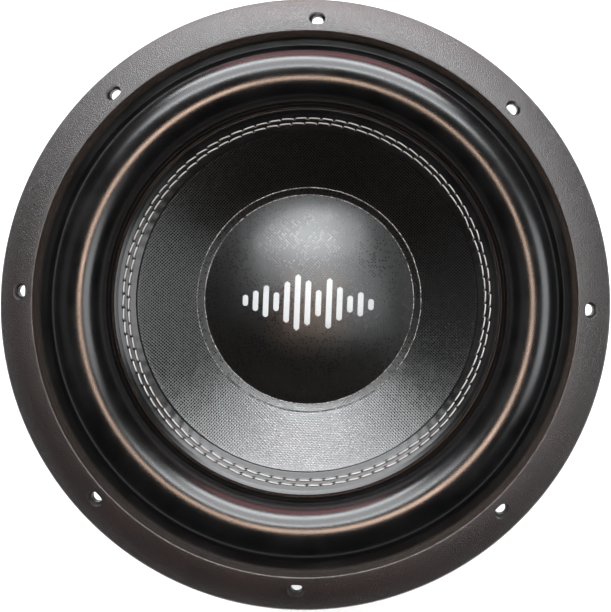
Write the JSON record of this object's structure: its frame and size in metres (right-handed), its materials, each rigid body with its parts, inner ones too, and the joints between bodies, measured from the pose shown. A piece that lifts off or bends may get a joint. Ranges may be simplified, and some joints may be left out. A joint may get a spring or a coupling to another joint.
{
  "type": "car subwoofer driver",
  "caption": "Round car subwoofer driver with a stitched woven cone, rubber surround, cast basket, sprung push terminals and a magnet motor.",
  "frame": {"origin": "centre of the bolt circle, in the rear face of the mounting flange", "axes": "+Z the way the cone fires; a bolt hole on +Y; terminals on +X and -X"},
  "size_m": [0.3174, 0.3174, 0.1786],
  "materials": {
    "basket": "satin black powder coat on cast aluminium",
    "gasket": "matte black rubber with a fine leather grain",
    "surround": "smooth moulded rubber with a soft gloss",
    "stitching": "off-white twisted polyester thread",
    "cone": "black woven glass fibre with resin",
    "dust_cap": "black woven glass fibre with gloss resin",
    "former": "amber polyimide film",
    "collar": "kraft paper",
    "winding": "enamelled copper wire",
    "spider": "resin-dipped cotton and aramid cloth",
    "spacer": "moulded nylon",
    "plate_steel": "black zinc plated steel",
    "ferrite": "sintered ferrite",
    "copper": "bare copper",
    "boot": "moulded rubber with a satin face",
    "screen": "perforated steel",
    "screws": "black oxide steel",
    "terminal_plastic": "glass filled nylon",
    "red_plastic": "gloss red moulding",
    "black_plastic": "gloss black moulding",
    "contact_metal": "gold flashed brass",
    "spring_steel": "spring steel",
    "tinsel": "braided copper tinsel wire"
  },
  "bodies": {
    "chassis": {"basket": "basket", "gasket_ring": "gasket", "surround": "surround", "spider_lower": "spider", "spider_upper": "spider", "spider_spacer": "spacer", "top_plate": "plate_steel", "magnet_upper": "ferrite", "magnet_lower": "ferrite", "t_yoke": "plate_steel", "pole_shorting_sleeve": "copper", "magnet_boot": "boot", "vent_screen": "screen", "basket_to_plate_screws": "screws", "terminal_block_right": "terminal_plastic", "terminal_screws_right": "screws", "contact_posts_right": "contact_metal", "solder_lugs_right": "contact_metal", "button_spring_right_red": "spring_steel", "button_spring_right_black": "spring_steel", "tinsel_lead_right_plus": "tinsel", "tinsel_lead_right_minus": "tinsel", "terminal_block_left": "terminal_plastic", "terminal_screws_left": "screws", "contact_posts_left": "contact_metal", "solder_lugs_left": "contact_metal", "button_spring_left_red": "spring_steel", "button_spring_left_black": "spring_steel", "tinsel_lead_left_plus": "tinsel", "tinsel_lead_left_minus": "tinsel"},
    "cone_assembly": {"cone": "cone", "dust_cap": "dust_cap", "stitch_thread_inner": "stitching", "stitch_thread_outer": "stitching", "coil_former": "former", "former_collar": "collar", "winding_inner": "winding", "winding_outer": "winding", "lead_anchors": "contact_metal"},
    "terminal_button_right_red": {"button_right_red": "red_plastic"},
    "terminal_button_right_black": {"button_right_black": "black_plastic"},
    "terminal_button_left_red": {"button_left_red": "red_plastic"},
    "terminal_button_left_black": {"button_left_black": "black_plastic"}
  },
  "joints": [
    {"name": "cone_travel", "type": "slide", "parent": "chassis", "child": "cone_assembly", "axis": [0, 0, 1], "range_m": [-0.015, 0.015], "stiffness_N_per_m": 4200, "deforming": ["surround", "spider_upper", "spider_lower", "tinsel_lead_right_plus", "tinsel_lead_right_minus", "tinsel_lead_left_plus", "tinsel_lead_left_minus"]},
    {"name": "button_travel_right_red", "type": "slide", "parent": "chassis", "child": "terminal_button_right_red", "axis": [-1, 0, 0], "range_m": [0, 0.0035], "stiffness_N_per_m": 900, "springref_m": -0.0015, "deforming": ["button_spring_right_red"]},
    {"name": "button_travel_right_black", "type": "slide", "parent": "chassis", "child": "terminal_button_right_black", "axis": [-1, 0, 0], "range_m": [0, 0.0035], "stiffness_N_per_m": 900, "springref_m": -0.0015, "deforming": ["button_spring_right_black"]},
    {"name": "button_travel_left_red", "type": "slide", "parent": "chassis", "child": "terminal_button_left_red", "axis": [1, 0, 0], "range_m": [0, 0.0035], "stiffness_N_per_m": 900, "springref_m": -0.0015, "deforming": ["button_spring_left_red"]},
    {"name": "button_travel_left_black", "type": "slide", "parent": "chassis", "child": "terminal_button_left_black", "axis": [1, 0, 0], "range_m": [0, 0.0035], "stiffness_N_per_m": 900, "springref_m": -0.0015, "deforming": ["button_spring_left_black"]}
  ]
}
